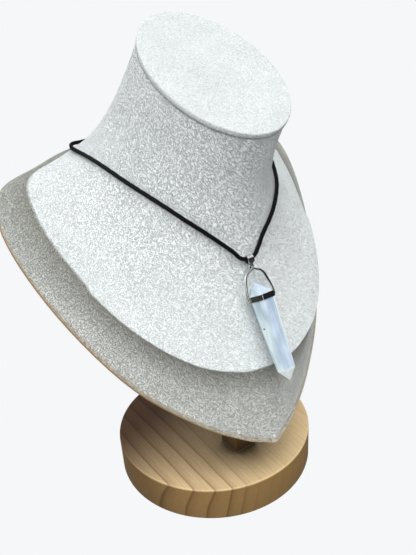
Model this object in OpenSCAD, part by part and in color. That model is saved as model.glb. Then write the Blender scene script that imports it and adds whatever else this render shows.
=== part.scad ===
// Crystal point pendant on a waxed cord, shown on a fabric neck bust with a
// round wooden base. Z is up, the chest faces -Y, and the origin is the centre
// of the base's underside.

/* [Stand] */
// Diameter of the round wooden base
base_d = 100; // [94:1:112]
// Thickness of the wooden base
base_h = 18; // [16:1:20]
// Side of the square wooden post
post_w = 12; // [10:1:13]
// Distance from the middle of the base forward to the middle of the post
post_forward = 22; // [20:1:24]
// Height of the post's top above the table
post_top = 100; // [92:1:104]

/* [Bust] */
// Lean of the chest board back from upright
lean = 39; // [38:0.5:40]
// Height of the chest's bottom tip above the table
tip_height = 37; // [34:1:40]
// Distance from the middle of the base forward to the chest's bottom tip
tip_forward = 50; // [48:1:52]
// Thickness of the board behind the chest
board_t = 2.5; // [2:0.5:3.5]
// Width of the oval top of the neck
neck_w = 54; // [50:1:58]
// Length of the oval top of the neck, front to back
neck_l = 75; // [70:1:80]
// Tilt of the neck's top away from the chest board
neck_tilt = 19; // [17:1:21]
// Thickness of the oval cap on the neck
cap_t = 2.2; // [1.8:0.1:3]

/* [Pendant] */
// Length of the crystal from point to point
crystal_l = 42.5; // [40:0.5:45]
// Width of the crystal across its corners, inside the band
crystal_w = 11.3; // [10.6:0.1:11.6]
// Width of the crystal across its corners, at its lower end
crystal_end_w = 8.7; // [8:0.1:9.2]
// Height of the six-sided band
band_h = 2.4; // [2:0.1:3]
// Thickness of the band's metal
band_t = 0.4; // [0.3:0.1:0.6]
// Thickness of the stirrup's wire
wire_d = 1.2; // [1:0.1:1.4]
// Width of the bail at its top
bail_w = 2.4; // [2:0.1:2.8]

/* [Cord] */
// Thickness of the waxed cord
cord_d = 1.8; // [1.5:0.1:2]
// Length of the barrel clasp behind the neck
clasp_l = 10; // [8:1:12]
// Thickness of the barrel clasp
clasp_d = 3.2; // [2.8:0.2:3.6]

/* [Hidden] */
$fn = 48;
// Room left between pieces that fit into each other
fit_gap = 0.1;

// Each rib runs from the neck's rim over the chest to the board's edge. The
// columns are: turn round the neck from the front, then the crease of the
// chest (across, up the board, out from the board), then the edge (across, up)
ribs = [
    [  0,  0.0,  33.6, 28.1,  0.0,   0.0],
    [  6,  6.9,  34.0, 28.0,  5.0,   2.1],
    [ 14, 16.0,  36.0, 27.7, 14.4,   7.4],
    [ 28, 31.0,  44.2, 26.3, 30.8,  21.0],
    [ 44, 45.5,  60.5, 23.7, 52.0,  46.5],
    [ 62, 57.5,  84.0, 19.9, 68.0,  80.0],
    [ 80, 64.5, 112.0, 15.3, 77.5, 113.0],
    [ 96, 65.0, 135.0, 11.6, 78.8, 136.0],
    [110, 62.0, 147.5,  8.7, 72.0, 148.3],
    [125, 53.0, 153.6,  5.0, 55.0, 154.3],
    [146, 34.0, 159.5,  4.0, 35.0, 160.0],
    [180,  0.0, 161.0,  4.0,  0.0, 161.7]
];
TURN = 0; CREASE_X = 1; CREASE_S = 2; CREASE_N = 3; EDGE_X = 4; EDGE_S = 5;

// Middle of the neck's oval top: up the board, and out from it
neck_up = 145;
neck_out = 76.3;
// How each rib bends, given for the front, the side and the back of the neck:
// its run down the neck, its flare outward, its reach back from the crease
// towards the neck, and its rise above the crease
neck_run = [44, 44, 50];
neck_flare = [0.5, 5, 4];
chest_reach = [0.6, 0.85, 0.5];
chest_rise = [10, 23, -6];
// Slope of the neck towards the bottom tip as it runs down to the chest
neck_slope = 16.3;
// How much the fabric is drawn in under the oval cap
neck_tuck = 0.6;
rib_steps = 5;
profile_steps = 15;

// Depth of the post's mortise in the base, and the base's chamfer
mortise = 8;
base_chamfer = 0.8;

// The middle of the bail's round top, where the cord passes through, and how
// the pendant hangs from there: its lean along the chest and its roll sideways
hang_at = [-1, -37.1, 124.85];
hang_lean = 27.5;
hang_roll = 0.4;
// The bail: room round the cord, strip thickness, distance from the cord to
// the stirrup's eye, and the width and inner radius of its lower end
bail_room = 0.45;
bail_t = 0.45;
eye_drop = 2.3;
bail_low_w = 0.6;
bail_low_r = 0.65;
// The stirrup: wire and hole of its eye, then one half of its bow as points
// from its top down to the band: distance from the middle, and depth
eye_wire_r = 0.4;
eye_hole_r = 0.5;
bow_half = [[0, 4.2], [0.65, 4.4], [1.7, 4.85], [3.1, 5.5], [4.25, 6.6], [5, 8.1],
            [5.65, 10.5], [6.2, 13]];
bow_steps = 3;
bow_sides = 12;
// Rounded feet of the bow, slightly thicker than its wire, and how far they
// stand out from the crystal's corners
foot_d = 1.3;
foot_out = 0.8;
// The crystal: depth of its upper point below the cord, height of its points,
// flat left at their ends, and the upper point's share above the band
crystal_drop = 10.5;
upper_point = 4.5;
lower_point = 5.5;
point_r = 0.15;
band_drop = 14.9;

// Where the clasp lies behind the neck, and the cord's way from its left end
// over the left shoulder to the bail, and back over the right shoulder
clasp_at = [0, 52.9, 165];
route = [
    [-5, 52.9, 165], [-22, 51.6, 164.4], [-28.5, 50.6, 164.3], [-33.5, 49.5, 164.5],
    [-36.5, 45.6, 165.1], [-38.7, 40.6, 165.4], [-40.6, 34.8, 165.8],
    [-41.4, 28, 166], [-41.2, 20.5, 165.5], [-40.6, 12.5, 164.4], [-38.8, 4, 161.8],
    [-36, -4.5, 158.1], [-32, -13, 153.7], [-27.5, -20.5, 149], [-23, -26, 144.3],
    [-18, -30, 139.6], [-12.5, -33.3, 134.2], [-8.2, -35.5, 129.9],
    [-4.8, -36.6, 126.1],
    [-1, -37.1, 124.75],
    [2.7, -36.6, 125.9], [5.4, -35.8, 128.7], [8.6, -34.6, 132.6],
    [13.5, -32.6, 136.3], [18.5, -29.8, 140], [23.4, -25.8, 143.3],
    [28.2, -20.8, 146.4], [32.3, -14.9, 149.5], [36, -8, 153], [39, -0.5, 156.5],
    [41, 8, 160.6], [41.9, 16.5, 164], [41.8, 25, 165.8], [41, 33.2, 165.8],
    [38.7, 40.6, 165.4], [36.5, 45.6, 165.1], [33.5, 49.5, 164.5],
    [28.5, 50.6, 164.3], [22, 51.6, 164.4], [5, 52.9, 165]
];
cord_sides = 8;
cord_steps = 2;
// Points straight out from the plane that the cord's loop roughly lies in
loop_normal = [0, -0.41, 0.91];

function by_turn(v, a) =
    v[0] * max(cos(a), 0) + v[1] * (1 - abs(cos(a))) + v[2] * max(-cos(a), 0);
function oval(a, grow, drop) =
    let (r = -(neck_l / 2 + grow) * cos(a))
    [(neck_w / 2 + grow) * sin(a),
     neck_up + r * cos(neck_tilt) - drop * sin(neck_tilt),
     neck_out - r * sin(neck_tilt) - drop * cos(neck_tilt)];
function unit(v) = v / norm(v);
function neck_point(r) = oval(r[TURN], -neck_tuck, cap_t);
function wall_point(r) =
    neck_point(r)
    + by_turn(neck_run, r[TURN]) * [0, -sin(neck_slope), -cos(neck_slope)]
    + by_turn(neck_flare, r[TURN]) * unit(oval(r[TURN], 0, 0) - [0, neck_up, neck_out]);
function crease_point(r) = [r[CREASE_X], r[CREASE_S], r[CREASE_N]];
function chest_point(r) =
    let (c = crease_point(r),
         p = c + by_turn(chest_reach, r[TURN]) * (wall_point(r) - c))
    [p[0], p[1], c[2] + by_turn(chest_rise, r[TURN])];
function edge_point(r) = [r[EDGE_X], r[EDGE_S], board_t];

// The right half's points and their mirror image, as one closed ring
function both_sides(half) = concat(
    half, [for (i = [len(half) - 2 : -1 : 1]) [-half[i][0], half[i][1], half[i][2]]]);
// The point at t between b and c on a smooth curve through a, b, c and d
function curve(a, b, c, d, t) =
    (2 * b + (c - a) * t + (2 * a - 5 * b + 4 * c - d) * t ^ 2
     + (3 * b - a - 3 * c + d) * t ^ 3) / 2;
// A smooth closed curve through the points, with n steps between two of them
function smooth_ring(p, n) = [
    for (i = [0 : len(p) - 1], j = [0 : n - 1])
        curve(p[(i + len(p) - 1) % len(p)], p[i], p[(i + 1) % len(p)],
              p[(i + 2) % len(p)], j / n)];
// The same through an open row of points, straight out at both ends
function smooth_path(p, n) =
    let (last = len(p) - 1,
         q = concat([2 * p[0] - p[1]], p, [2 * p[last] - p[last - 1]]))
    concat([for (i = [0 : last - 1], j = [0 : n - 1])
                curve(q[i], q[i + 1], q[i + 2], q[i + 3], j / n)],
           [p[last]]);
function bezier(a, b, c, d, u) =
    (1 - u) ^ 3 * a + 3 * (1 - u) ^ 2 * u * b + 3 * (1 - u) * u ^ 2 * c + u ^ 3 * d;

neck_ring = smooth_ring(both_sides([for (r = ribs) neck_point(r)]), rib_steps);
wall_ring = smooth_ring(both_sides([for (r = ribs) wall_point(r)]), rib_steps);
chest_ring = smooth_ring(both_sides([for (r = ribs) chest_point(r)]), rib_steps);
crease_ring = smooth_ring(both_sides([for (r = ribs) crease_point(r)]), rib_steps);
edge_ring = smooth_ring(both_sides([for (r = ribs) edge_point(r)]), rib_steps);

// Closed rings of equal length, joined from the first to the last and capped;
// each ring runs anticlockwise seen from the last one
module loft(rings) {
    n = len(rings[0]);
    last = (len(rings) - 1) * n;
    polyhedron(
        points = [for (ring = rings, p = ring) p],
        faces = concat(
            [[for (i = [0 : n - 1]) i]],
            [for (k = [0 : len(rings) - 2], i = [0 : n - 1], half = [0, 1])
                let (a = k * n + i, b = k * n + (i + 1) % n)
                half == 0 ? [a, b + n, b] : [a, a + n, b + n]],
            [[for (i = [n - 1 : -1 : 0]) last + i]]));
}

// Puts shapes drawn on the chest board (across, up, out) in their leaning place
module on_board() {
    translate([0, -tip_forward, tip_height]) rotate([90 - lean, 0, 0]) children();
}

module post_shape(bottom, top, gap) {
    side = post_w + 2 * gap;
    translate([-side / 2, -post_forward - side / 2, bottom]) cube([side, side, top - bottom]);
}

// Puts shapes drawn round the hanging point (x across, z up) in their place
module on_pendant() {
    translate(hang_at) rotate([-hang_lean, 0, 0]) rotate([0, -hang_roll, 0]) children();
}

// The outline of a round end of radius r, a smaller one below it, and the
// straight sides between them
function teardrop(r, low, drop) =
    let (slope = asin((r - low) / drop), n = 16)
    concat([for (i = [0 : n]) let (a = -slope + (180 + 2 * slope) * i / n) r * [cos(a), sin(a)]],
           [for (i = [0 : n]) let (a = 180 + slope + (180 - 2 * slope) * i / n)
               [low * cos(a), low * sin(a) - drop]]);

// A round bar along a path that starts and ends straight; normal points out of
// the plane that the path roughly lies in
module tube(path, d, sides, normal, start, end) {
    last = len(path) - 1;
    loft([for (i = [0 : last])
        let (along = i == 0 ? start : i == last ? end : unit(path[i + 1] - path[i - 1]),
             side = unit(cross(along, normal)), up = cross(along, side))
        [for (k = [0 : sides - 1])
            let (a = 360 * k / sides) path[i] + d / 2 * (side * cos(a) + up * sin(a))]]);
}

module wood_base() {
    r = base_d / 2;
    c = base_chamfer;
    color("burlywood")
        difference() {
            rotate_extrude()
                polygon([[0, 0], [r - c, 0], [r, c], [r, base_h - c], [r - c, base_h], [0, base_h]]);
            post_shape(base_h - mortise, base_h + 1, fit_gap);
        }
}

module support_post() {
    color("burlywood") post_shape(base_h - mortise, post_top, 0);
}

module back_board() {
    color("tan")
        difference() {
            on_board() linear_extrude(board_t) polygon([for (p = edge_ring) [p[0], p[1]]]);
            post_shape(base_h, post_top, fit_gap);
        }
}

module bust_form() {
    rings = concat(
        [edge_ring],
        [for (k = [profile_steps : -1 : 0])
            [for (i = [0 : len(neck_ring) - 1])
                bezier(neck_ring[i], wall_ring[i], chest_ring[i], crease_ring[i],
                       k / profile_steps)]]);
    color("ivory")
        difference() {
            on_board() loft(rings);
            post_shape(base_h, post_top + 2 * fit_gap, fit_gap);
        }
}

module neck_cap() {
    // Each row: how far the cap's side is drawn in, and its depth below the top
    rows = [[0.5, cap_t], [0, cap_t - 0.5], [0, 0.8], [0.3, 0.25], [1, 0]];
    color("ivory")
        on_board() loft([for (row = rows) [for (a = [0 : 5 : 355]) oval(a, -row[0], row[1])]]);
}

module cord() {
    color("black")
        tube(smooth_path(route, cord_steps), cord_d, cord_sides, loop_normal, [-1, 0, 0], [-1, 0, 0]);
}

module clasp() {
    rim = 1;
    color("silver")
        translate(clasp_at) rotate([0, 90, 0]) {
            cylinder(h = clasp_l, d = clasp_d - 0.4, center = true);
            for (z = [-clasp_l / 2, clasp_l / 2 - rim])
                translate([0, 0, z]) cylinder(h = rim, d = clasp_d);
        }
}

module bail() {
    r = cord_d / 2 + bail_room;
    top = r + bail_t;
    bottom = -eye_drop - bail_low_r - bail_t;
    color("silver")
        on_pendant()
            intersection() {
                rotate([90, 0, 90])
                    linear_extrude(bail_w, center = true)
                        difference() {
                            polygon(teardrop(top, bail_low_r + bail_t, eye_drop));
                            polygon(teardrop(r, bail_low_r, eye_drop));
                        }
                rotate([90, 0, 0])
                    linear_extrude(4 * top, center = true)
                        polygon([[-bail_low_w / 2, bottom], [bail_low_w / 2, bottom],
                                 [bail_low_w / 2, -eye_drop], [bail_w / 2, -r],
                                 [bail_w / 2, top], [-bail_w / 2, top],
                                 [-bail_w / 2, -r], [-bail_low_w / 2, -eye_drop]]);
            }
}

module stirrup() {
    eye_r = eye_hole_r + eye_wire_r;
    band_r = crystal_w / 2 + fit_gap / 2;
    foot_x = crystal_w / 2 + foot_out;
    foot_z = -band_drop - band_h + wire_d / 2;
    last = len(bow_half) - 1;
    bow = smooth_path(
        concat([[foot_x, 0, foot_z]],
               [for (i = [last : -1 : 0]) [bow_half[i][0], 0, -bow_half[i][1]]],
               [for (i = [1 : last]) [-bow_half[i][0], 0, -bow_half[i][1]]],
               [[-foot_x, 0, foot_z]]),
        bow_steps);
    color("silver")
        on_pendant() {
            translate([0, 0, -eye_drop - eye_r]) rotate([90, 0, 0])
                rotate_extrude() translate([eye_r, 0]) circle(eye_wire_r);
            tube(bow, wire_d, bow_sides, [0, 1, 0],
                 unit(bow[1] - bow[0]), unit(bow[len(bow) - 1] - bow[len(bow) - 2]));
            for (side = [-1, 1])
                translate([side * foot_x, 0, foot_z]) sphere(d = foot_d);
            translate([0, 0, -band_drop - band_h])
                linear_extrude(band_h)
                    difference() {
                        circle(r = band_r + band_t / cos(30), $fn = 6);
                        circle(r = band_r, $fn = 6);
                    }
        }
}

module crystal() {
    // Each row: the crystal's width across its corners, and the depth there
    rows = [[2 * point_r, crystal_drop + crystal_l],
            [crystal_end_w, crystal_drop + crystal_l - lower_point],
            [crystal_w, crystal_drop + upper_point],
            [2 * point_r, crystal_drop]];
    color("aliceblue")
        on_pendant()
            loft([for (row = rows) [for (k = [0 : 5])
                [row[0] / 2 * cos(60 * k), row[0] / 2 * sin(60 * k), -row[1]]]]);
}

wood_base();
support_post();
back_board();
bust_form();
neck_cap();
cord();
clasp();
bail();
stirrup();
crystal();
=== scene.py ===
import math
import bpy
import bmesh
from mathutils import Matrix, Vector


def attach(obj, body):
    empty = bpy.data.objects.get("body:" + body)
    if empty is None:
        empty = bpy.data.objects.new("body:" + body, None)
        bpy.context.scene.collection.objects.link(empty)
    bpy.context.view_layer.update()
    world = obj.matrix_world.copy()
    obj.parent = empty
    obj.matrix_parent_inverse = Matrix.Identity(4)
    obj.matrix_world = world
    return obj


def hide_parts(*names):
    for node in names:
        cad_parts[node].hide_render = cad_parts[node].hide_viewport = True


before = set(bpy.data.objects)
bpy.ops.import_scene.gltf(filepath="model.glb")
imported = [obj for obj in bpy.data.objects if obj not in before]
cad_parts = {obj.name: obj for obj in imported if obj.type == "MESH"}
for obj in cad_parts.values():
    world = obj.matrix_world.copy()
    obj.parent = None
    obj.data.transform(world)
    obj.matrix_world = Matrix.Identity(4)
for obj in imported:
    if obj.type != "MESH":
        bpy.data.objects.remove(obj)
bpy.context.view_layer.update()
scene = bpy.context.scene
mm = 0.001
nearly = 0.001 * mm  # places closer than this are the same
white = (1.0, 1.0, 1.0, 1.0)
black = (0.0, 0.0, 0.0, 1.0)


def turnBy(degrees, axis):
    return Matrix.Rotation(math.radians(degrees), 4, axis)


# the leaning chest board, the oval top of the neck and the pendant each have their own axes
placeSizes = {
    "board": (0, -50 * mm, 37 * mm), "boardLean": 51,
    "cap": (0, 145 * mm, 76.3 * mm), "capLean": -19,  # on the board's axes
    "pendant": (-1 * mm, -37.1 * mm, 124.85 * mm), "pendantLean": -27.5, "pendantRoll": -0.4,
}
boardPlace = Matrix.Translation(placeSizes["board"]) @ turnBy(placeSizes["boardLean"], "X")
capPlace = boardPlace @ Matrix.Translation(placeSizes["cap"]) @ turnBy(placeSizes["capLean"], "X")
pendantPlace = (Matrix.Translation(placeSizes["pendant"]) @ turnBy(placeSizes["pendantLean"], "X")
                @ turnBy(placeSizes["pendantRoll"], "Y"))


def hexColour(code):
    # an sRGB hex value as the linear colour that nodes take
    parts = [int(code[i:i + 2], 16) / 255 for i in (0, 2, 4)]
    return (*[c / 12.92 if c <= 0.04045 else ((c + 0.055) / 1.055) ** 2.4 for c in parts], 1.0)


def addNode(tree, kind, links=None, stops=(), **settings):
    # links are sockets to join, or values, by the new node's input; stops are a ramp's greys
    node = tree.nodes.new(kind)
    for name, value in settings.items():
        setattr(node, name, value)
    for socket, value in (links or {}).items():
        if isinstance(value, bpy.types.NodeSocket):
            tree.links.new(value, node.inputs[socket])
        else:
            node.inputs[socket].default_value = value
    for i, (position, grey) in enumerate(stops):
        elements = node.color_ramp.elements  # a new ramp has two
        element = elements[i] if i < 2 else elements.new(position)
        element.position, element.color = position, (grey, grey, grey, 1.0)
    return node


def inFrame(tree, vector, place):
    # the Object coordinates as they are in the axes of a piece's own place
    back = place.inverted()
    return addNode(tree, "ShaderNodeMapping", {
        "Vector": vector, "Location": back.translation, "Rotation": back.to_euler(),
    }).outputs["Vector"]


def newMaterial(name, looks):
    # a Principled material with its own socket values
    material = bpy.data.materials.new(name)
    material.use_nodes = True
    tree = material.node_tree
    shader = tree.nodes["Principled BSDF"]
    for socket, value in looks.items():
        shader.inputs[socket].default_value = value
    return material, tree, shader


def clearSelection():
    if bpy.context.mode != "OBJECT":
        bpy.ops.object.mode_set(mode="OBJECT")
    bpy.ops.object.select_all(action="DESELECT")


def pick(piece):
    clearSelection()
    piece.select_set(True)
    bpy.context.view_layer.objects.active = piece


def named(name):
    piece = bpy.context.active_object
    piece.name = name
    piece.data.name = name
    return piece


def startFrom(node, name, flat=False):
    # a copy of a CAD solid with its loose triangles merged back into faces
    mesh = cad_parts[node].data.copy()
    mesh.materials.clear()
    piece = bpy.data.objects.new(name, mesh)
    mesh.name = name
    bpy.context.collection.objects.link(piece)
    pick(piece)
    bpy.ops.object.mode_set(mode="EDIT")
    bpy.ops.mesh.select_all(action="SELECT")
    bpy.ops.mesh.remove_doubles(threshold=nearly)
    if flat:
        bpy.ops.mesh.dissolve_limited(angle_limit=math.radians(1))
    else:
        bpy.ops.mesh.tris_convert_to_quads(face_threshold=math.radians(40),
                                           shape_threshold=math.radians(50))
    bpy.ops.object.mode_set(mode="OBJECT")
    return piece


def modify(piece, kind, **settings):
    # adds a modifier and applies it at once
    pick(piece)
    modifier = piece.modifiers.new(kind.lower(), kind)
    for name, value in settings.items():
        setattr(modifier, name, value)
    bpy.ops.object.modifier_apply(modifier=modifier.name)


def choose(piece, kind, test):
    # leaves edit mode on, with only what passes the test chosen; kind is VERT, EDGE or FACE
    pick(piece)
    bpy.ops.object.mode_set(mode="EDIT")
    bpy.ops.mesh.select_mode(type=kind)
    bpy.ops.mesh.select_all(action="DESELECT")
    work = bmesh.from_edit_mesh(piece.data)
    for part in {"VERT": work.verts, "EDGE": work.edges, "FACE": work.faces}[kind]:
        part.select_set(test(part))
    work.select_flush_mode()
    bmesh.update_edit_mesh(piece.data)


def bevelEdges(piece, test, **settings):
    choose(piece, "EDGE", test)
    bpy.ops.mesh.bevel(**settings)
    bpy.ops.object.mode_set(mode="OBJECT")


def isLevel(edge):
    return abs(edge.verts[0].co.z - edge.verts[1].co.z) < nearly


def roundCorners(piece, width):
    modify(piece, "BEVEL", width=width, segments=2, limit_method="ANGLE",
           angle_limit=math.radians(40))


def settle(piece, place=None):
    # puts a piece that was made in its own axes in its place, and its object at the origin
    pick(piece)
    if place is not None:
        piece.matrix_world = place @ piece.matrix_world
        bpy.context.view_layer.update()
    bpy.ops.object.transform_apply(location=True, rotation=True, scale=True)


def smoothBy(piece, degrees=35):
    # edges that turn by more than this stay sharp
    pick(piece)
    bpy.ops.object.shade_smooth_by_angle(angle=math.radians(degrees))


def weighFaces(piece, degrees=35):
    # rounded edges blend into the flats without bending the light on them
    smoothBy(piece, degrees)
    modify(piece, "WEIGHTED_NORMAL", keep_sharp=True, weight=100)


def join(pieces, name):
    clearSelection()
    for piece in pieces:
        piece.select_set(True)
    bpy.context.view_layer.objects.active = pieces[0]
    bpy.ops.object.join()
    return named(name)


def finishPiece(piece, material, body, slot, *nodes):
    piece.data.materials.clear()
    piece.data.materials.append(material)
    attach(piece, body)
    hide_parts(*nodes)


# camera, at the photo's angle

cameraSizes = {
    "place": (-0.13687, -0.21480, 0.22613),  # metres
    "turn": -33.0, "down": 25.93, "roll": -3.92,  # degrees
    "lens": 38.92, "film": 36,  # mm, the film along the image's long side
    "nearest": 10 * mm,
}


def makeCamera():
    sizes = cameraSizes
    lens = bpy.data.cameras.new("camera")
    lens.lens = sizes["lens"]
    lens.sensor_width = sizes["film"]
    lens.clip_start = sizes["nearest"]
    camera = bpy.data.objects.new("camera", lens)
    scene.collection.objects.link(camera)
    camera.matrix_world = (Matrix.Translation(sizes["place"]) @ turnBy(sizes["turn"], "Z")
                           @ turnBy(90 - sizes["down"], "X") @ turnBy(sizes["roll"], "Z"))
    scene.camera = camera


makeCamera()
print("camera ready")

# cord: black waxed cotton, three plies twisted round each other

cordSizes = {
    "thickness": 1.8 * mm, "sides": 18, "ringsPerPoint": 20,
    "plies": 3, "pitch": 5.4 * mm,
    "plyDepth": 0.10,  # how deep the grooves between plies are, as a share of the radius
    "firstSide": (0, -0.41, 0.91),  # the way that each ring's count starts
    "yarn": 0.9, "yarnSlant": 9.0, "yarnDepth": 0.05 * mm,  # at 0.9 a yarn shows each 0.7 mm
    "fuzz": 3.0,  # noise cells in each millimetre
    "route": [  # mm, as in the CAD
        (-5, 52.9, 165), (-22, 51.6, 164.4), (-28.5, 50.6, 164.3), (-33.5, 49.5, 164.5),
        (-36.5, 45.6, 165.1), (-38.7, 40.6, 165.4), (-40.6, 34.8, 165.8),
        (-41.4, 28, 166), (-41.2, 20.5, 165.5), (-40.6, 12.5, 164.4), (-38.8, 4, 161.8),
        (-36, -4.5, 158.1), (-32, -13, 153.7), (-27.5, -20.5, 149), (-23, -26, 144.3),
        (-18, -30, 139.6), (-12.5, -33.3, 134.2), (-8.2, -35.5, 129.9),
        (-4.8, -36.6, 126.1),
        (-1, -37.1, 124.75),
        (2.7, -36.6, 125.9), (5.4, -35.8, 128.7), (8.6, -34.6, 132.6),
        (13.5, -32.6, 136.3), (18.5, -29.8, 140), (23.4, -25.8, 143.3),
        (28.2, -20.8, 146.4), (32.3, -14.9, 149.5), (36, -8, 153), (39, -0.5, 156.5),
        (41, 8, 160.6), (41.9, 16.5, 164), (41.8, 25, 165.8), (41, 33.2, 165.8),
        (38.7, 40.6, 165.4), (36.5, 45.6, 165.1), (33.5, 49.5, 164.5),
        (28.5, 50.6, 164.3), (22, 51.6, 164.4), (5, 52.9, 165),
    ],
}


def makeWaxedCotton():
    # waxed cotton: matt black thread under a thin wax that catches a soft grey light on top
    sizes = cordSizes
    material, tree, shader = newMaterial("waxedCotton", {
        "Roughness": 0.6, "Coat Weight": 0.06, "Coat Roughness": 0.4, "Specular IOR Level": 0.12})
    uv = addNode(tree, "ShaderNodeUVMap", uv_map="alongCord")
    # the UV runs in millimetres along the cord and once round it, and the yarns slant across it
    slant = addNode(tree, "ShaderNodeMapping", {
        "Vector": uv.outputs["UV"], "Scale": (1.0, sizes["yarnSlant"], 1.0)})
    yarn = addNode(tree, "ShaderNodeTexWave", {
        "Vector": slant.outputs["Vector"], "Scale": sizes["yarn"], "Distortion": 1.5, "Detail": 1.0,
    }, wave_type="BANDS", bands_direction="DIAGONAL", wave_profile="SIN")
    fuzz = addNode(tree, "ShaderNodeTexNoise", {
        "Vector": slant.outputs["Vector"], "Scale": sizes["fuzz"], "Detail": 3.0})
    shade = addNode(tree, "ShaderNodeMix", {
        "Factor": fuzz.outputs["Fac"], "A": hexColour("030304"), "B": hexColour("131416"),
    }, data_type="RGBA")
    tree.links.new(shade.outputs["Result"], shader.inputs["Base Color"])
    bump = addNode(tree, "ShaderNodeBump", {
        "Height": yarn.outputs["Fac"], "Strength": 0.5, "Distance": sizes["yarnDepth"]})
    tree.links.new(bump.outputs["Normal"], shader.inputs["Normal"])
    return material


def smoothRoute(points, steps):
    # a smooth curve through the points, as the CAD cord's
    points = [Vector(p) * mm for p in points]
    points = [2 * points[0] - points[1], *points, 2 * points[-1] - points[-2]]
    way = []
    for a, b, c, d in zip(points, points[1:], points[2:], points[3:]):
        for i in range(steps):
            t = i / steps
            way.append((2 * b + (c - a) * t + (2 * a - 5 * b + 4 * c - d) * t ** 2
                        + (3 * b - a - 3 * c + d) * t ** 3) / 2)
    return [*way, points[-2]]


def makeCord():
    sizes = cordSizes
    way = smoothRoute(sizes["route"], sizes["ringsPerPoint"])
    radius, sides = sizes["thickness"] / 2, sizes["sides"]
    gone = [0.0]  # the cord's length up to each ring
    for here, there in zip(way, way[1:]):
        gone.append(gone[-1] + (there - here).length)
    work = bmesh.new()
    uv = work.loops.layers.uv.new("alongCord")
    rings = []
    side = Vector(sizes["firstSide"])
    for i, middle in enumerate(way):
        along = (way[min(i + 1, len(way) - 1)] - way[max(i - 1, 0)]).normalized()
        side = (side - along * side.dot(along)).normalized()
        up = along.cross(side)
        twist = 2 * math.pi * gone[i] / (sizes["pitch"] * sizes["plies"])
        ring = []
        for k in range(sides):
            angle = 2 * math.pi * k / sides
            lobe = abs(math.cos(sizes["plies"] / 2 * (angle - twist)))
            out = radius * (1 - sizes["plyDepth"] * (1 - lobe) ** 2)
            ring.append(work.verts.new(middle + out * (side * math.cos(angle)
                                                       + up * math.sin(angle))))
        rings.append(ring)
    for i in range(len(rings) - 1):
        for k in range(sides):
            n = (k + 1) % sides
            face = work.faces.new((rings[i][k], rings[i][n], rings[i + 1][n], rings[i + 1][k]))
            face.smooth = True
            corners = ((i, k), (i, k + 1), (i + 1, k + 1), (i + 1, k))
            for loop, (row, turn) in zip(face.loops, corners):
                loop[uv].uv = (gone[row] / mm, turn / sides)
    work.faces.new(rings[0][::-1])
    work.faces.new(rings[-1])
    bmesh.ops.recalc_face_normals(work, faces=work.faces)
    mesh = bpy.data.meshes.new("waxedCord")
    work.to_mesh(mesh)
    work.free()
    cord = bpy.data.objects.new("waxedCord", mesh)
    bpy.context.collection.objects.link(cord)
    finishPiece(cord, makeWaxedCotton(), "stand", "cord", "cord")


makeCord()
print("cord done")

# bust form, its oval cap and the board behind it

bustSizes = {
    "foldRadius": 0.9 * mm,  # the chest's rounded fold
    "foldTurns": 22,  # degrees from which an edge is a fold or a rim
    "foldStep": 12 * mm,  # folds and rims are made of edges shorter than this
    "creaseStart": (0.0336, 0.0281),  # the fold plane at the front: up the board, out from it
    "creaseSlope": -0.163,
    "cove": 0.085,  # how far the face below the fold is hollowed, as a share of its height
    "coveFade": (0.075, 0.120),  # the hollow runs out between these heights up the board
    "coveEnds": (0.02, 0.95),  # and lies between these shares of the way from fold to rim
    "coveBack": -0.3,  # faces that look further back than this stay as they are
    "smooth": 50,
}

velvetSizes = {
    "nap": 0.60 * mm, "pile": 0.36 * mm,  # spacing and depth of the brushed marks
    "napTurn": -0.71,  # radians; the marks run down to the right
    "napDrawn": 0.28,  # a mark's width as a share of its length
    "patchPerMm": 0.06,  # wide, faint patches, 17 mm across
    "neckEnds": (-75 * mm, -40 * mm),  # below the cap, where the chest's pile turns into the neck's
    "levels": (0.95, 1.0, 0.81),  # painted shade: how bright the chest, the neck and the cap are toned
    "heights": (0.7, 1.0, 0.5),  # how much of the pile's depth stands on each of them
    "capRimShade": (-1.6 * mm, -0.4 * mm), "tuckShadow": (-3.4 * mm, -2.5 * mm),  # below the cap's top
    "pressed": (0.1 * mm, -0.8 * mm),  # out from the fold, where the pressed pile starts
    "shadeRun": 15 * mm,  # the pile below the fold gets paler over this distance
    "weave": 0.55 * mm,  # thread spacing of the backing cloth
    "bareEdge": (3.4 * mm, 2.2 * mm),  # out from the board
}


def foldHeight(up):
    # how far out from the board the chest's fold lies, at a height up the board
    startUp, startOut = bustSizes["creaseStart"]
    return startOut + bustSizes["creaseSlope"] * (up - startUp)


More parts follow.
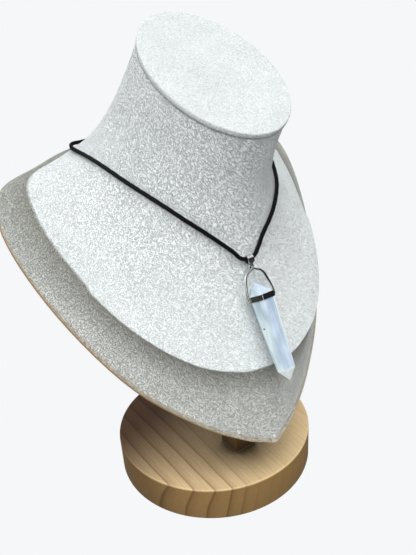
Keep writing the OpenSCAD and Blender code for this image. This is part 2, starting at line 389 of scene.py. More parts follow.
def pressedCloth(tree, place, pile):
    # below the fold the pile is pressed, with painted shade that is darkest at the fold, and the
    # knitted backing shows as fine dots
    sizes = velvetSizes
    onBoard = inFrame(tree, place, boardPlace)
    board = addNode(tree, "ShaderNodeSeparateXYZ", {"Vector": onBoard})
    fold = addNode(tree, "ShaderNodeMath", {
        0: board.outputs["Y"], 1: -bustSizes["creaseSlope"], 2: board.outputs["Z"],
    }, operation="MULTIPLY_ADD")
    below = addNode(tree, "ShaderNodeMapRange", {
        "Value": fold.outputs["Value"], "From Min": foldHeight(0) + sizes["pressed"][0],
        "From Max": foldHeight(0) + sizes["pressed"][1]})
    # painted shade: darkest at the fold, paler down to shadeRun below it
    depth = addNode(tree, "ShaderNodeMapRange", {
        "Value": fold.outputs["Value"], "From Min": foldHeight(0),
        "From Max": foldHeight(0) - sizes["shadeRun"]})
    foldShaded = addNode(tree, "ShaderNodeMix", {
        "Factor": depth.outputs["Result"], "A": hexColour("a8a49b"), "B": hexColour("f2efe9"),
    }, data_type="RGBA")
    foldShaded = addNode(tree, "ShaderNodeMix", {
        "Factor": below.outputs["Result"], "A": white, "B": foldShaded.outputs["Result"],
    }, data_type="RGBA")
    knit = addNode(tree, "ShaderNodeTexVoronoi", {
        "Vector": onBoard, "Scale": 1 / sizes["weave"], "Randomness": 0.4})
    dots = addNode(tree, "ShaderNodeMapRange", {
        "Value": knit.outputs["Distance"], "From Min": 0.1, "From Max": 0.6,
        "To Min": 1.04, "To Max": 0.86})
    foldShaded = addNode(tree, "ShaderNodeVectorMath", {
        0: foldShaded.outputs["Result"], 1: pile}, operation="MULTIPLY")
    dotted = addNode(tree, "ShaderNodeVectorMath", {
        0: foldShaded.outputs["Vector"], "Scale": dots.outputs["Result"]}, operation="SCALE")
    cloth = addNode(tree, "ShaderNodeMix", {
        "Factor": below.outputs["Result"], "A": foldShaded.outputs["Vector"],
        "B": dotted.outputs["Vector"],
    }, data_type="RGBA")
    # the turned-in edge is bare, and its dry glue is beige
    edge = addNode(tree, "ShaderNodeMapRange", {
        "Value": board.outputs["Z"], "From Min": sizes["bareEdge"][0],
        "From Max": sizes["bareEdge"][1], "To Max": 0.8})
    cloth = addNode(tree, "ShaderNodeMix", {
        "Factor": edge.outputs["Result"], "A": cloth.outputs["Result"], "B": hexColour("a89878"),
    }, data_type="RGBA")
    return cloth.outputs["Result"], below.outputs["Result"]


def makeVelvet(name, onCap):
    # short-pile microfibre velvet: pale crests parted by fine winding hollows, no shine
    sizes = velvetSizes
    material, tree, shader = newMaterial(name, {
        "Roughness": 0.95, "Sheen Weight": 0.15, "Sheen Roughness": 0.5,
        "Specular IOR Level": 0.1})
    place = addNode(tree, "ShaderNodeTexCoord").outputs["Object"]
    # the noise is turned and drawn out along the marks, and the hollows are where it is even
    turned = addNode(tree, "ShaderNodeMapping", {
        "Vector": place, "Rotation": (0.0, sizes["napTurn"], 0.0)})
    drawn = addNode(tree, "ShaderNodeMapping", {
        "Vector": turned.outputs["Vector"], "Scale": (sizes["napDrawn"], 1.0, 1.0)})
    nap = addNode(tree, "ShaderNodeTexNoise", {
        "Vector": drawn.outputs["Vector"], "Scale": 1 / sizes["nap"], "Detail": 2.0,
        "Roughness": 0.5, "Distortion": 0.5})
    hollow = addNode(tree, "ShaderNodeMath", {0: nap.outputs["Fac"], 1: 0.5}, operation="SUBTRACT")
    hollow = addNode(tree, "ShaderNodeMath", {0: hollow.outputs["Value"]}, operation="ABSOLUTE")
    crest = addNode(tree, "ShaderNodeMapRange", {
        "Value": hollow.outputs["Value"], "From Min": 0.0, "From Max": 0.075,
    }, interpolation_type="SMOOTHSTEP")
    patches = addNode(tree, "ShaderNodeTexNoise", {
        "Vector": place, "Scale": sizes["patchPerMm"] / mm, "Detail": 2.0})
    # painted shade: the pile's hollows are toned greyer than its crests
    tone = addNode(tree, "ShaderNodeMix", {
        "Factor": crest.outputs["Result"], "A": hexColour("d8dad6"), "B": hexColour("f7fdfd"),
    }, data_type="RGBA")
    wide = addNode(tree, "ShaderNodeMapRange", {
        "Value": patches.outputs["Fac"], "From Min": 0.3, "From Max": 0.7,
        "To Min": 0.95, "To Max": 1.02})
    colour = addNode(tree, "ShaderNodeVectorMath", {
        0: tone.outputs["Result"], "Scale": wide.outputs["Result"]}, operation="SCALE")
    # painted shade: the chest is toned a little greyer than the neck, and so is the cap, which lies
    # under the lamps
    chest, neck, cap = sizes["levels"]
    height = addNode(tree, "ShaderNodeSeparateXYZ", {"Vector": inFrame(tree, place, capPlace)})
    onNeck = addNode(tree, "ShaderNodeMapRange", {
        "Value": height.outputs["Z"], "From Min": sizes["neckEnds"][0],
        "From Max": sizes["neckEnds"][1]})
    level = addNode(tree, "ShaderNodeMapRange", {
        "Value": onNeck.outputs["Result"], "To Min": chest, "To Max": cap if onCap else neck})
    colour = addNode(tree, "ShaderNodeVectorMath", {
        0: colour.outputs["Vector"], "Scale": level.outputs["Result"]}, operation="SCALE")
    if onCap:
        # painted shade: the cap's rim is toned greyer
        ends, low, high = sizes["capRimShade"], 0.80, 1.0
    else:
        # painted shade: a dark line under the cap, where the neck's cloth is tucked in
        ends, low, high = sizes["tuckShadow"], 1.0, 0.4
    capEdgeShade = addNode(tree, "ShaderNodeMapRange", {
        "Value": height.outputs["Z"], "From Min": ends[0], "From Max": ends[1],
        "To Min": low, "To Max": high})
    colour = addNode(tree, "ShaderNodeVectorMath", {
        0: colour.outputs["Vector"], "Scale": capEdgeShade.outputs["Result"]}, operation="SCALE")
    result = colour.outputs["Vector"]
    if not onCap:
        result, below = pressedCloth(tree, place, result)
    tree.links.new(result, shader.inputs["Base Color"])
    # hands and necklaces rub the neck, so its pile stands rougher than the chest's and the cap's
    chest, neck, cap = sizes["heights"]
    rough = addNode(tree, "ShaderNodeMapRange", {
        "Value": onNeck.outputs["Result"], "To Min": chest, "To Max": cap if onCap else neck})
    strength = rough.outputs["Result"]
    if not onCap:
        strength = addNode(tree, "ShaderNodeMix", {
            "Factor": below, "A": strength, "B": 1.0}, data_type="FLOAT").outputs["Result"]
    bump = addNode(tree, "ShaderNodeBump", {
        "Height": crest.outputs["Result"], "Strength": strength, "Distance": sizes["pile"]})
    tree.links.new(bump.outputs["Normal"], shader.inputs["Normal"])
    return material


def hollowOut(bust):
    # the face below the fold is a shallow cove in the photo: its middle goes in, its edges stay
    sizes = bustSizes
    toBoard = boardPlace.inverted()
    fadeLow, fadeHigh = sizes["coveFade"]
    first, last = sizes["coveEnds"]
    pick(bust)
    bpy.ops.object.mode_set(mode="EDIT")
    work = bmesh.from_edit_mesh(bust.data)
    work.normal_update()
    moves = []
    for vert in work.verts:
        spot = toBoard @ vert.co
        facing = toBoard.to_3x3() @ vert.normal
        share = 1 - spot.z / foldHeight(spot.y)
        if first < share < last and facing.z > sizes["coveBack"] and spot.y < fadeHigh:
            fade = min(1, (fadeHigh - spot.y) / (fadeHigh - fadeLow))
            moves.append((vert, vert.normal * sizes["cove"] * foldHeight(spot.y) * fade
                          * math.sin(math.pi * share)))
    for vert, move in moves:
        vert.co -= move
    bmesh.update_edit_mesh(bust.data)
    bpy.ops.object.mode_set(mode="OBJECT")


def makeBust(velvet):
    sizes = bustSizes
    bust = startFrom("bust_form", "bustForm")
    bevelEdges(bust, lambda edge: len(edge.link_faces) == 2
               and edge.calc_face_angle() > math.radians(sizes["foldTurns"])
               and edge.calc_length() < sizes["foldStep"],
               offset=sizes["foldRadius"], segments=2, profile=0.5, clamp_overlap=True)
    modify(bust, "SUBSURF", levels=1, render_levels=1)
    hollowOut(bust)
    smoothBy(bust, sizes["smooth"])
    finishPiece(bust, velvet, "stand", "velvet", "bust_form")


capSizes = {
    "width": 54 * mm, "length": 75 * mm, "thick": 2.2 * mm, "edge": 0.6 * mm, "sides": 120,
    "insets": (1.5 * mm, 4 * mm, 6 * mm, 7 * mm),  # rings of faces on the top, from the edge in
    "smooth": 40,
}


def makeCap(velvet):
    sizes = capSizes
    clearSelection()
    bpy.ops.mesh.primitive_cylinder_add(vertices=sizes["sides"], radius=0.5, depth=1,
                                        end_fill_type="NGON")
    cap = named("neckCap")
    cap.scale = (sizes["width"], sizes["length"], sizes["thick"])
    cap.location = (0, 0, -sizes["thick"] / 2)
    settle(cap)
    bevelEdges(cap, isLevel, offset=sizes["edge"], segments=4, profile=0.6)
    choose(cap, "FACE", lambda face: len(face.verts) == sizes["sides"] and face.normal.z > 0)
    for inset in sizes["insets"]:
        bpy.ops.mesh.inset(thickness=inset)
    bpy.ops.object.mode_set(mode="OBJECT")
    settle(cap, capPlace)
    smoothBy(cap, sizes["smooth"])
    finishPiece(cap, velvet, "stand", "velvet", "neck_cap")


boardSizes = {"edge": 0.35 * mm, "fleckPerMm": 0.9, "fleckDepth": 0.1 * mm}


def makeFibreboard():
    # cut fibreboard: tan, dull, with fine pressed flecks
    material, tree, shader = newMaterial("fibreboard", {
        "Roughness": 0.85, "Specular IOR Level": 0.25})
    place = addNode(tree, "ShaderNodeTexCoord").outputs["Object"]
    flecks = addNode(tree, "ShaderNodeTexNoise", {
        "Vector": place, "Scale": boardSizes["fleckPerMm"] / mm, "Detail": 4.0, "Roughness": 0.7})
    tone = addNode(tree, "ShaderNodeMix", {
        "Factor": flecks.outputs["Fac"], "A": hexColour("8a6c48"), "B": hexColour("c9a97c"),
    }, data_type="RGBA")
    tree.links.new(tone.outputs["Result"], shader.inputs["Base Color"])
    bump = addNode(tree, "ShaderNodeBump", {
        "Height": flecks.outputs["Fac"], "Strength": 0.3, "Distance": boardSizes["fleckDepth"]})
    tree.links.new(bump.outputs["Normal"], shader.inputs["Normal"])
    return material


def makeBoard():
    board = startFrom("back_board", "backBoard", flat=True)
    roundCorners(board, boardSizes["edge"])
    smoothBy(board)
    finishPiece(board, makeFibreboard(), "stand", "board", "back_board")


bustVelvet = makeVelvet("ivoryVelvet", False)
capVelvet = makeVelvet("ivoryVelvetTop", True)
makeBust(bustVelvet)
makeCap(capVelvet)
makeBoard()
print("bust, cap and board done")

# round wooden base and square post

pineSizes = {
    "ring": 7.2 * mm,  # spacing of the year rings
    # how dark the wood is along one ring, from early wood to late wood and back
    "lateWood": ((0.0, 0.05), (0.45, 0.12), (0.84, 0.45), (0.92, 1.0), (0.97, 0.9), (1.0, 0.3)),
    "pith": (74.5 * mm, 0, -10 * mm),  # the middle of the rings runs along Y here
    "waverPerMm": (0.030, 0.009, 0.015), "waver": 9 * mm,  # the rings' bends: how dense, how far
    "ringsEnd": (-22 * mm, -8 * mm),  # the late wood fades out between these places along X
    "fibrePerMm": (1.9, 0.06, 1.9), "fibreDepth": 0.1 * mm,  # fibres and pores run along Y
    "turnedSide": (0.3 * mm, 1.1 * mm),  # the side's look starts this far from the base's top
    "coverReach": 200 * mm,  # how far above the wood the bust still covers it
    "shadeWay": (0.25, -0.95, 0.0),
    "shadeEnds": (-32 * mm, 26 * mm),  # the top's shaded part ends between these, along that way
    "sideUnshaded": 0.62,  # how much of the unshaded colour the side keeps at least
}
waveRepeat = 0.3142  # the ring wave at scale 1 has a ring each 0.3142 units


def yearRings(tree, place, across):
    # straw early wood, and thin brown late wood that shows on the left alone
    sizes = pineSizes
    fromPith = addNode(tree, "ShaderNodeMapping", {
        "Vector": place, "Location": [-middle for middle in sizes["pith"]]})
    waver = addNode(tree, "ShaderNodeMapping", {
        "Vector": place, "Scale": [count / mm for count in sizes["waverPerMm"]]})
    waver = addNode(tree, "ShaderNodeTexNoise", {
        "Vector": waver.outputs["Vector"], "Scale": 1.0, "Detail": 2.0})
    shift = addNode(tree, "ShaderNodeVectorMath", {
        0: waver.outputs["Color"], 1: (0.5, 0.5, 0.5)}, operation="SUBTRACT")
    shift = addNode(tree, "ShaderNodeVectorMath", {
        0: shift.outputs["Vector"], "Scale": sizes["waver"]}, operation="SCALE")
    bent = addNode(tree, "ShaderNodeVectorMath", {
        0: fromPith.outputs["Vector"], 1: shift.outputs["Vector"]}, operation="ADD")
    rings = addNode(tree, "ShaderNodeTexWave", {
        "Vector": bent.outputs["Vector"], "Scale": waveRepeat / sizes["ring"], "Distortion": 0.0,
    }, wave_type="RINGS", rings_direction="Y", wave_profile="SAW")
    late = addNode(tree, "ShaderNodeValToRGB", {"Fac": rings.outputs["Fac"]},
                   stops=sizes["lateWood"])
    ringed = addNode(tree, "ShaderNodeMapRange", {
        "Value": across, "From Min": sizes["ringsEnd"][0], "From Max": sizes["ringsEnd"][1],
        "To Min": 0.62, "To Max": 0.12})
    grain = addNode(tree, "ShaderNodeMath", {
        0: late.outputs["Color"], 1: ringed.outputs["Result"]}, operation="MULTIPLY")
    return addNode(tree, "ShaderNodeMix", {
        "Factor": grain.outputs["Value"], "A": hexColour("dcc193"), "B": hexColour("86582f"),
    }, data_type="RGBA").outputs["Result"]


def makePine():
    # planed pine, unvarnished: dull and pale with fine fibres, and browner on the base's side and
    # on the post
    sizes = pineSizes
    material, tree, shader = newMaterial("planedPine", {
        "Roughness": 0.6, "Specular IOR Level": 0.25})
    place = addNode(tree, "ShaderNodeTexCoord").outputs["Object"]
    axis = addNode(tree, "ShaderNodeSeparateXYZ", {"Vector": place})
    wood = yearRings(tree, place, axis.outputs["X"])
    # a fibre is about half a millimetre wide here, coarser than the real ones, so that it shows
    fibre = addNode(tree, "ShaderNodeMapping", {
        "Vector": place, "Scale": [count / mm for count in sizes["fibrePerMm"]]})
    fibre = addNode(tree, "ShaderNodeTexNoise", {
        "Vector": fibre.outputs["Vector"], "Scale": 1.0, "Detail": 3.0})
    streak = addNode(tree, "ShaderNodeMapRange", {
        "Value": fibre.outputs["Fac"], "From Min": 0.30, "From Max": 0.62,
        "To Min": 0.86, "To Max": 1.04})
    colour = addNode(tree, "ShaderNodeVectorMath", {
        0: wood, "Scale": streak.outputs["Result"]}, operation="SCALE")
    # the base's side and the post are coloured browner and darker than its top
    side = addNode(tree, "ShaderNodeMath", {
        0: axis.outputs["Z"], 1: baseSizes["thick"]}, operation="SUBTRACT")
    side = addNode(tree, "ShaderNodeMath", {0: side.outputs["Value"]}, operation="ABSOLUTE")
    side = addNode(tree, "ShaderNodeMapRange", {
        "Value": side.outputs["Value"], "From Min": sizes["turnedSide"][0],
        "From Max": sizes["turnedSide"][1]})
    turned = addNode(tree, "ShaderNodeVectorMath", {
        0: colour.outputs["Vector"], 1: hexColour("a5967b")[:3]}, operation="MULTIPLY")
    colour = addNode(tree, "ShaderNodeMix", {
        "Factor": side.outputs["Result"], "A": colour.outputs["Vector"],
        "B": turned.outputs["Vector"],
    }, data_type="RGBA")
    # painted shade: the wood is coloured darker where the bust hangs over it
    cover = addNode(tree, "ShaderNodeAmbientOcclusion", {
        "Distance": sizes["coverReach"]}, samples=8)
    underBustShade = addNode(tree, "ShaderNodeMapRange", {
        "Value": cover.outputs["AO"], "From Min": 0.34, "From Max": 0.80,
        "To Min": 0.05, "To Max": 1.0})
    colour = addNode(tree, "ShaderNodeVectorMath", {
        0: colour.outputs["Result"], "Scale": underBustShade.outputs["Result"]}, operation="SCALE")
    # painted shade: the top is coloured darkest at its back left, where the bust keeps it in shade;
    # the side less
    across = addNode(tree, "ShaderNodeVectorMath", {
        0: place, 1: sizes["shadeWay"]}, operation="DOT_PRODUCT")
    unshadedShare = addNode(tree, "ShaderNodeMapRange", {
        "Value": across.outputs["Value"], "From Min": sizes["shadeEnds"][0],
        "From Max": sizes["shadeEnds"][1],
    }, interpolation_type="SMOOTHSTEP")
    sideUnshaded = addNode(tree, "ShaderNodeMath", {
        0: side.outputs["Result"], 1: sizes["sideUnshaded"]}, operation="MULTIPLY")
    unshadedShare = addNode(tree, "ShaderNodeMath", {
        0: unshadedShare.outputs["Result"], 1: sideUnshaded.outputs["Value"]}, operation="MAXIMUM")
    shade = addNode(tree, "ShaderNodeMix", {
        "Factor": unshadedShare.outputs["Value"], "A": hexColour("6a574b"), "B": white,
    }, data_type="RGBA")
    colour = addNode(tree, "ShaderNodeVectorMath", {
        0: colour.outputs["Vector"], 1: shade.outputs["Result"]}, operation="MULTIPLY")
    tree.links.new(colour.outputs["Vector"], shader.inputs["Base Color"])
    bump = addNode(tree, "ShaderNodeBump", {
        "Height": fibre.outputs["Fac"], "Strength": 0.25, "Distance": sizes["fibreDepth"]})
    tree.links.new(bump.outputs["Normal"], shader.inputs["Normal"])
    return material


baseSizes = {
    "across": 100 * mm, "thick": 18 * mm, "edge": 0.8 * mm, "sides": 160,
    "mortise": 8 * mm, "room": 0.1 * mm,  # the square hole's depth, and its play round the post
}

postSizes = {"side": 12 * mm, "forward": 22 * mm, "top": 100 * mm, "edge": 0.4 * mm}


def makeBase(pine):
    sizes = baseSizes
    clearSelection()
    bpy.ops.mesh.primitive_cylinder_add(vertices=sizes["sides"], radius=sizes["across"] / 2,
                                        depth=sizes["thick"], location=(0, 0, sizes["thick"] / 2))
    base = named("roundBase")
    settle(base)
    bevelEdges(base, isLevel, offset=sizes["edge"], segments=3, profile=0.5)
    side = postSizes["side"] + 2 * sizes["room"]
    clearSelection()
    bpy.ops.mesh.primitive_cube_add(size=1, location=(0, -postSizes["forward"], sizes["thick"]))
    cutter = named("mortiseCutter")
    cutter.scale = (side, side, 2 * sizes["mortise"])
    settle(cutter)
    modify(base, "BOOLEAN", object=cutter, operation="DIFFERENCE", solver="EXACT")
    bpy.data.objects.remove(cutter)
    smoothBy(base)
    finishPiece(base, pine, "stand", "wood", "wood_base")


def makePost(pine):
    sizes = postSizes
    bottom = baseSizes["thick"] - baseSizes["mortise"]
    clearSelection()
    bpy.ops.mesh.primitive_cube_add(size=1, location=(0, -sizes["forward"],
                                                      (bottom + sizes["top"]) / 2))
    post = named("squarePost")
    post.scale = (sizes["side"], sizes["side"], sizes["top"] - bottom)
    settle(post)
    modify(post, "BEVEL", width=sizes["edge"], segments=3)
    smoothBy(post)
    finishPiece(post, pine, "stand", "wood", "support_post")


pine = makePine()
makeBase(pine)
makePost(pine)
print("base and post done")

# silver-plated fittings: clasp, bail and stirrup

silverSizes = {"hazePerMm": 0.7}  # patches of haze, 1.4 mm across


def makeSilverPlate():
    # polished silver plate: bright mirror with a very faint haze from handling
    material, tree, shader = newMaterial("polishedSilverPlate", {
        "Base Color": hexColour("dcdcda"), "Metallic": 1.0})
    place = addNode(tree, "ShaderNodeTexCoord").outputs["Object"]
    haze = addNode(tree, "ShaderNodeTexNoise", {
        "Vector": place, "Scale": silverSizes["hazePerMm"] / mm, "Detail": 3.0})
    dull = addNode(tree, "ShaderNodeMapRange", {
        "Value": haze.outputs["Fac"], "From Min": 0.35, "From Max": 0.7,
        "To Min": 0.08, "To Max": 0.22})
    tree.links.new(dull.outputs["Result"], shader.inputs["Roughness"])
    return material


claspSizes = {
    "place": (0, 52.9 * mm, 165 * mm), "long": 10 * mm, "thick": 3.2 * mm, "sides": 32,
    "rim": 1 * mm, "rimStands": 0.2 * mm,
    "groove": 0.4 * mm, "grooveDeep": 0.2 * mm,
    "edge": 0.1 * mm,
}


def makeClasp(silver):
    sizes = claspSizes
    half, rim, groove = sizes["long"] / 2, sizes["rim"], sizes["groove"] / 2
    clearSelection()
    bpy.ops.mesh.primitive_cylinder_add(vertices=sizes["sides"], depth=sizes["long"],
                                        radius=sizes["thick"] / 2 - sizes["rimStands"],
                                        rotation=(0, math.pi / 2, 0))
    clasp = named("barrelClasp")
    settle(clasp)
    for x in (-half + rim, half - rim, -groove, groove):
        pick(clasp)
        bpy.ops.object.mode_set(mode="EDIT")
        bpy.ops.mesh.select_all(action="SELECT")
        bpy.ops.mesh.bisect(plane_co=(x, 0, 0), plane_no=(1, 0, 0))
        bpy.ops.object.mode_set(mode="OBJECT")
    # the rims stand proud, and a fine groove shows where the two halves screw together
    for nearest, furthest, out in ((half - rim, half, sizes["rimStands"]),
                                   (-groove, groove, -sizes["grooveDeep"])):
        choose(clasp, "FACE", lambda face: len(face.verts) == 4
               and nearest < abs(face.calc_center_median().x) < furthest)
        bpy.ops.mesh.extrude_region_shrink_fatten(TRANSFORM_OT_shrink_fatten={"value": out})
        bpy.ops.object.mode_set(mode="OBJECT")
    roundCorners(clasp, sizes["edge"])
    settle(clasp, Matrix.Translation(sizes["place"]))
    weighFaces(clasp)
    finishPiece(clasp, silver, "stand", "plated_metal", "clasp")


bailSizes = {
    "wider": 1.25,  # how many times as wide as the CAD's, as the photo shows it
    "edge": 0.09 * mm,
}


def makeBail(silver):
    bail = startFrom("bail", "silverBail", flat=True)
    settle(bail, pendantPlace.inverted())
    bail.scale = (bailSizes["wider"], 1, 1)
    settle(bail)
    settle(bail, pendantPlace)
    roundCorners(bail, bailSizes["edge"])
    weighFaces(bail)
    finishPiece(bail, silver, "pendant", "plated_metal", "bail")


stirrupSizes = {
    "eyeDrop": 2.3 * mm,  # from the middle of the cord to the top of the eye's ring
    "eyeWire": 0.4 * mm, "eyeHole": 0.5 * mm,  # radii
    "eyeSteps": 40, "eyeWireSides": 14,
    "bow": [  # half of the bow's line in mm, from the middle out and from the cord down
        (0, 4.2), (0.65, 4.4), (1.7, 4.85), (3.1, 5.5), (4.25, 6.6), (5, 8.1), (5.65, 10.5),
        (6.2, 13)],
    "wire": 1.2 * mm, "wireSteps": 8, "wireRounding": 5,
    "foot": 1.3 * mm, "footOut": 0.8 * mm, "footSides": 24, "footRings": 14,
    "bandDrop": 14.9 * mm, "bandHigh": 2.4 * mm, "bandWall": 0.4 * mm, "bandRoom": 0.05 * mm,
    "bandCorner": 0.34 * mm, "bandEdge": 0.09 * mm,
    "smooth": 28,  # the band's cut corners stay flat
}
flatForward = math.pi / 6  # turns a six-sided ring until one of its flats faces the front


def makeEye():
    sizes = stirrupSizes
    middle = sizes["eyeHole"] + sizes["eyeWire"]
    clearSelection()
    bpy.ops.mesh.primitive_torus_add(major_radius=middle, minor_radius=sizes["eyeWire"],
                                     major_segments=sizes["eyeSteps"],
                                     minor_segments=sizes["eyeWireSides"],
                                     rotation=(math.pi / 2, 0, 0),
                                     location=(0, 0, -sizes["eyeDrop"] - middle))
    return named("eye")


def makeBow(footX, footZ):
    # one wire from foot to foot, through the points of the bow's line
    sizes = stirrupSizes
    half = [(x * mm, z * mm) for x, z in sizes["bow"]]
    line = [(footX, footZ), *half[::-1], *[(-x, z) for x, z in half[1:]], (-footX, footZ)]
    clearSelection()
    bpy.ops.curve.primitive_bezier_curve_add()
    bow = named("bow")
    spline = bow.data.splines[0]
    spline.bezier_points.add(len(line) - 2)
    for point, (x, z) in zip(spline.bezier_points, line):
        point.co = (x, 0, -z)
        point.handle_left_type = point.handle_right_type = "AUTO"
    spline.resolution_u = sizes["wireSteps"]
    bow.data.dimensions = "3D"
    bow.data.bevel_depth = sizes["wire"] / 2
    bow.data.bevel_resolution = sizes["wireRounding"]
    bow.data.use_fill_caps = True
    pick(bow)
    bpy.ops.object.convert(target="MESH")
    return bpy.context.active_object


def makeBand():
    # a six-sided ring round the crystal, its upright corners cut flat
    sizes = stirrupSizes
    inner = crystalSizes["across"] / 2 + sizes["bandRoom"]
    clearSelection()
    middle = sizes["bandDrop"] + sizes["bandHigh"] / 2
    bpy.ops.mesh.primitive_cylinder_add(vertices=6, depth=sizes["bandHigh"],
                                        radius=inner + sizes["bandWall"] / math.cos(flatForward),
                                        end_fill_type="NOTHING", rotation=(0, 0, flatForward),
                                        location=(0, 0, -middle))
    band = named("band")
    settle(band)
    bevelEdges(band, lambda edge: not isLevel(edge), offset=sizes["bandCorner"], segments=1)
    modify(band, "SOLIDIFY", thickness=sizes["bandWall"], offset=-1, use_even_offset=True)
    roundCorners(band, sizes["bandEdge"])
    return band


def makeStirrup(silver):
    sizes = stirrupSizes
    footX = crystalSizes["across"] / 2 + sizes["footOut"]
    footZ = sizes["bandDrop"] + sizes["bandHigh"] - sizes["wire"] / 2
    parts = [makeEye(), makeBow(footX, footZ)]
    for turn in (-1, 1):
        clearSelection()
        bpy.ops.mesh.primitive_uv_sphere_add(radius=sizes["foot"] / 2, segments=sizes["footSides"],
                                             ring_count=sizes["footRings"],
                                             location=(turn * footX, 0, -footZ))
        parts.append(named("foot"))
    parts.append(makeBand())
    stirrup = join(parts, "silverStirrup")
    settle(stirrup, pendantPlace)
    weighFaces(stirrup, sizes["smooth"])
    finishPiece(stirrup, silver, "pendant", "plated_metal", "stirrup")


# crystal: a six-sided selenite point, wider in the band than at its lower end

crystalSizes = {
    "long": 42.5 * mm, "across": 11.3 * mm, "endAcross": 8.7 * mm, "drop": 10.5 * mm,
    "upperPoint": 4.5 * mm, "upperRise": 0.8 * mm, "upperAside": -1.0 * mm,
    "lowerPoint": 5.5 * mm, "lowerAside": 0.25 * mm, "edge": 0.22 * mm,
    "fibrePerMm": (1.9, 1.9, 0.06), "fibreDepth": 0.1 * mm, "cloudPerMm": (0.33, 0.33, 0.11),
    # where its colours change, in the pendant's axes, which start in the middle of the cord
    "paintedLeftFace": (-3.4 * mm, -2.4 * mm),
    "tipWhite": (-47.0 * mm, -47.6 * mm), "edgeHighlight": (1.8 * mm, 2.3 * mm),
    "grain": (-4.54 * mm, -0.97 * mm, -28.9 * mm), "grainWide": (0.55 * mm, 0.25 * mm),
}


def makeSelenite():
    # satin spar selenite: milky pale blue, silky fibres along its length, light glows inside it
    sizes = crystalSizes
    material, tree, shader = newMaterial("satinSelenite", {
        "Roughness": 0.2, "IOR": 1.52, "Subsurface Weight": 0.5, "Subsurface Scale": 3 * mm,
        "Subsurface Radius": (0.8, 0.9, 1.0)})
    place = addNode(tree, "ShaderNodeTexCoord").outputs["Object"]
    local = inFrame(tree, place, pendantPlace)
    axis = addNode(tree, "ShaderNodeSeparateXYZ", {"Vector": local})
    # real fibres are finer than half a millimetre; these are as coarse as they need to show
    squeezed = addNode(tree, "ShaderNodeMapping", {
        "Vector": local, "Scale": [count / mm for count in sizes["fibrePerMm"]]})
    fibres = addNode(tree, "ShaderNodeTexNoise", {
        "Vector": squeezed.outputs["Vector"], "Scale": 1.0, "Detail": 3.0, "Roughness": 0.6})
    cloudy = addNode(tree, "ShaderNodeMapping", {
        "Vector": local, "Scale": [count / mm for count in sizes["cloudPerMm"]]})
    clouds = addNode(tree, "ShaderNodeTexNoise", {
        "Vector": cloudy.outputs["Vector"], "Scale": 1.0, "Detail": 4.0})
    blend = addNode(tree, "ShaderNodeMix", {
        "Factor": 0.6, "A": fibres.outputs["Fac"], "B": clouds.outputs["Fac"]}, data_type="FLOAT")
    cloud = addNode(tree, "ShaderNodeMapRange", {
        "Value": blend.outputs["Result"], "From Min": 0.38, "From Max": 0.66})
    # painted light: the left face is toned greener and paler, the front one bluer
    litLeftFace = addNode(tree, "ShaderNodeMapRange", {
        "Value": axis.outputs["X"], "From Min": sizes["paintedLeftFace"][0],
        "From Max": sizes["paintedLeftFace"][1]})
    dense = addNode(tree, "ShaderNodeMix", {
        "Factor": litLeftFace.outputs["Result"], "A": hexColour("a9bcc6"), "B": hexColour("abbdd0"),
    }, data_type="RGBA")
    pale = addNode(tree, "ShaderNodeMix", {
        "Factor": litLeftFace.outputs["Result"], "A": hexColour("dbe8ea"), "B": hexColour("d6e3ee"),
    }, data_type="RGBA")
    tone = addNode(tree, "ShaderNodeMix", {
        "Factor": cloud.outputs["Result"], "A": dense.outputs["Result"],
        "B": pale.outputs["Result"],
    }, data_type="RGBA")
    # the lower tip is whiter, and the right edge gets a painted highlight
    tip = addNode(tree, "ShaderNodeMapRange", {
        "Value": axis.outputs["Z"], "From Min": sizes["tipWhite"][0],
        "From Max": sizes["tipWhite"][1], "To Max": 0.95})
    edge = addNode(tree, "ShaderNodeMapRange", {
        "Value": axis.outputs["X"], "From Min": sizes["edgeHighlight"][0],
        "From Max": sizes["edgeHighlight"][1], "To Max": 0.85})
    tipAndHighlight = addNode(tree, "ShaderNodeMath", {
        0: tip.outputs["Result"], 1: edge.outputs["Result"]}, operation="MAXIMUM")
    tone = addNode(tree, "ShaderNodeMix", {
        "Factor": tipAndHighlight.outputs["Value"], "A": tone.outputs["Result"], "B": hexColour("f3f9f6"),
    }, data_type="RGBA")
    # one small dark grain lies in the left face
    speck = addNode(tree, "ShaderNodeVectorMath", {
        0: local, 1: sizes["grain"]}, operation="DISTANCE")
    speck = addNode(tree, "ShaderNodeMapRange", {
        "Value": speck.outputs["Value"], "From Min": sizes["grainWide"][0],
        "From Max": sizes["grainWide"][1], "To Max": 0.9})
    tone = addNode(tree, "ShaderNodeMix", {
        "Factor": speck.outputs["Result"], "A": tone.outputs["Result"], "B": hexColour("3f5a60"),
    }, data_type="RGBA")
    tree.links.new(tone.outputs["Result"], shader.inputs["Base Color"])
    bump = addNode(tree, "ShaderNodeBump", {
        "Height": fibres.outputs["Fac"], "Strength": 0.2, "Distance": sizes["fibreDepth"]})
    tree.links.new(bump.outputs["Normal"], shader.inputs["Normal"])
    return material


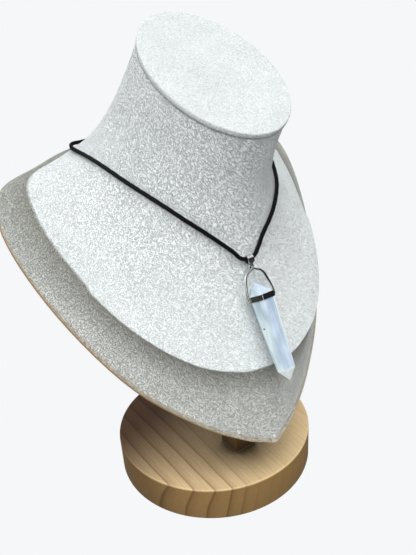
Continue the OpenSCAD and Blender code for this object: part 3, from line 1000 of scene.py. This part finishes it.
def makeCrystal():
    sizes = crystalSizes
    top = -sizes["drop"] - sizes["upperPoint"]
    bottom = -sizes["drop"] - sizes["long"] + sizes["lowerPoint"]
    clearSelection()
    bpy.ops.mesh.primitive_cone_add(vertices=6, radius1=sizes["endAcross"] / 2,
                                    radius2=sizes["across"] / 2, depth=top - bottom,
                                    end_fill_type="TRIFAN", rotation=(0, 0, flatForward),
                                    location=(0, 0, (top + bottom) / 2))
    crystal = named("seleniteCrystal")
    settle(crystal)
    # the middle of each end is drawn out to a point
    for level, lift, aside in (
            (top, sizes["upperPoint"] + sizes["upperRise"], sizes["upperAside"]),
            (bottom, -sizes["lowerPoint"], sizes["lowerAside"])):
        choose(crystal, "VERT", lambda vert: abs(vert.co.z - level) < nearly
               and vert.co.xy.length < nearly)
        bpy.ops.transform.translate(value=(aside, 0, lift))
        bpy.ops.object.mode_set(mode="OBJECT")
    modify(crystal, "BEVEL", width=sizes["edge"], segments=2)
    settle(crystal, pendantPlace)
    weighFaces(crystal)
    finishPiece(crystal, makeSelenite(), "pendant", "selenite", "crystal")


silver = makeSilverPlate()
makeClasp(silver)
makeBail(silver)
makeStirrup(silver)
makeCrystal()
print("pendant and clasp done")

# pale floor and soft light

lightSizes = {
    # each soft lamp: its light on a facing surface, its width, the way to it (azimuth from +X,
    # height), and if polished metal mirrors it
    "lamps": (
        (1.98, 55.0, 255.0, 52.0, False),
        (1.05, 90.0, 180.0, 12.0, False),
        (0.15, 60.0, 300.0, 12.0, False),
        (0.50, 110.0, 225.0, -35.0, False),
        (0.80, 80.0, 95.0, 5.0, False),
        (0.50, 80.0, 10.0, 8.0, False),
        (0.20, 22.0, 237.5, 24.0, True),
    ),
    # the room's brightness from straight below, -1, to straight above, 1
    "room": ((-1.0, 0.22), (-0.5, 0.24), (-0.15, 0.06), (0.1, 0.02), (0.48, 0.02), (0.62, 0.7),
             (0.8, 1.0), (1.0, 1.0)),
    "roomTint": "f8fbff",
    "paper": "f6f7f9",
    "floorWide": 16.0, "backdropFar": 7.8, "backdropHigh": 16.0, "backdropSides": 96,  # metres
    # a white card at the upper left that only the metal and the crystal mirror, also in metres
    "card": (2.2, 1.5), "cardFar": 1.5, "cardAzimuth": 160.0, "cardHeight": 46.0, "cardGlow": 1.8,
}


def makeGlow(name, colour, strength):
    # a stage surface that only shines evenly
    return newMaterial(name, {
        "Base Color": black, "Roughness": 1.0, "Specular IOR Level": 0.0,
        "Emission Color": colour, "Emission Strength": strength})[0]


def makePaper():
    # the floor and the far backdrop only show to the camera; the lamps and the room give all light
    sizes = lightSizes
    clearSelection()
    bpy.ops.mesh.primitive_plane_add(size=sizes["floorWide"])
    floor = named("floor")
    clearSelection()
    bpy.ops.mesh.primitive_cylinder_add(vertices=sizes["backdropSides"],
                                        radius=sizes["backdropFar"], depth=sizes["backdropHigh"],
                                        end_fill_type="NOTHING")
    backdrop = named("backdrop")
    paper = makeGlow("litPaper", hexColour(sizes["paper"]), 1.0)
    for piece in (floor, backdrop):
        piece.data.materials.append(paper)
        piece.visible_diffuse = piece.visible_glossy = False
        piece.visible_transmission = piece.visible_shadow = False


def makeCard():
    sizes = lightSizes
    clearSelection()
    bpy.ops.mesh.primitive_plane_add(size=1)
    card = named("reflectorCard")
    card.scale = (*sizes["card"], 1)
    settle(card, turnBy(sizes["cardAzimuth"] + 90, "Z") @ turnBy(90 - sizes["cardHeight"], "X")
           @ Matrix.Translation((0, 0, sizes["cardFar"])))
    card.data.materials.append(makeGlow("whiteCard", white, sizes["cardGlow"]))
    card.visible_camera = card.visible_diffuse = False
    card.visible_transmission = card.visible_shadow = False


def makeLamps():
    for i, (energy, wide, azimuth, height, mirrored) in enumerate(lightSizes["lamps"]):
        sun = bpy.data.lights.new(f"lamp{i}", "SUN")
        sun.energy = energy
        sun.angle = math.radians(wide)
        lamp = bpy.data.objects.new(f"lamp{i}", sun)
        scene.collection.objects.link(lamp)
        lamp.visible_glossy = mirrored
        lamp.rotation_euler = (math.radians(90 - height), 0, math.radians(azimuth + 90))


def makeRoom():
    # light of the room by height: a pale ceiling over dim walls, which is what the metal mirrors
    world = bpy.data.worlds.new("room")
    scene.world = world
    world.use_nodes = True
    tree = world.node_tree
    look = addNode(tree, "ShaderNodeTexCoord").outputs["Generated"]
    axis = addNode(tree, "ShaderNodeSeparateXYZ", {"Vector": look})
    level = addNode(tree, "ShaderNodeMapRange", {
        "Value": axis.outputs["Z"], "From Min": -1.0, "From Max": 1.0})
    room = addNode(tree, "ShaderNodeValToRGB", {"Fac": level.outputs["Result"]},
                   stops=[((z + 1) / 2, bright) for z, bright in lightSizes["room"]])
    light = addNode(tree, "ShaderNodeVectorMath", {
        0: room.outputs["Color"], 1: hexColour(lightSizes["roomTint"])[:3]}, operation="MULTIPLY")
    tree.links.new(light.outputs["Vector"], tree.nodes["Background"].inputs["Color"])


makePaper()
makeCard()
makeLamps()
makeRoom()
scene.view_settings.view_transform = "Standard"
print("stage done")
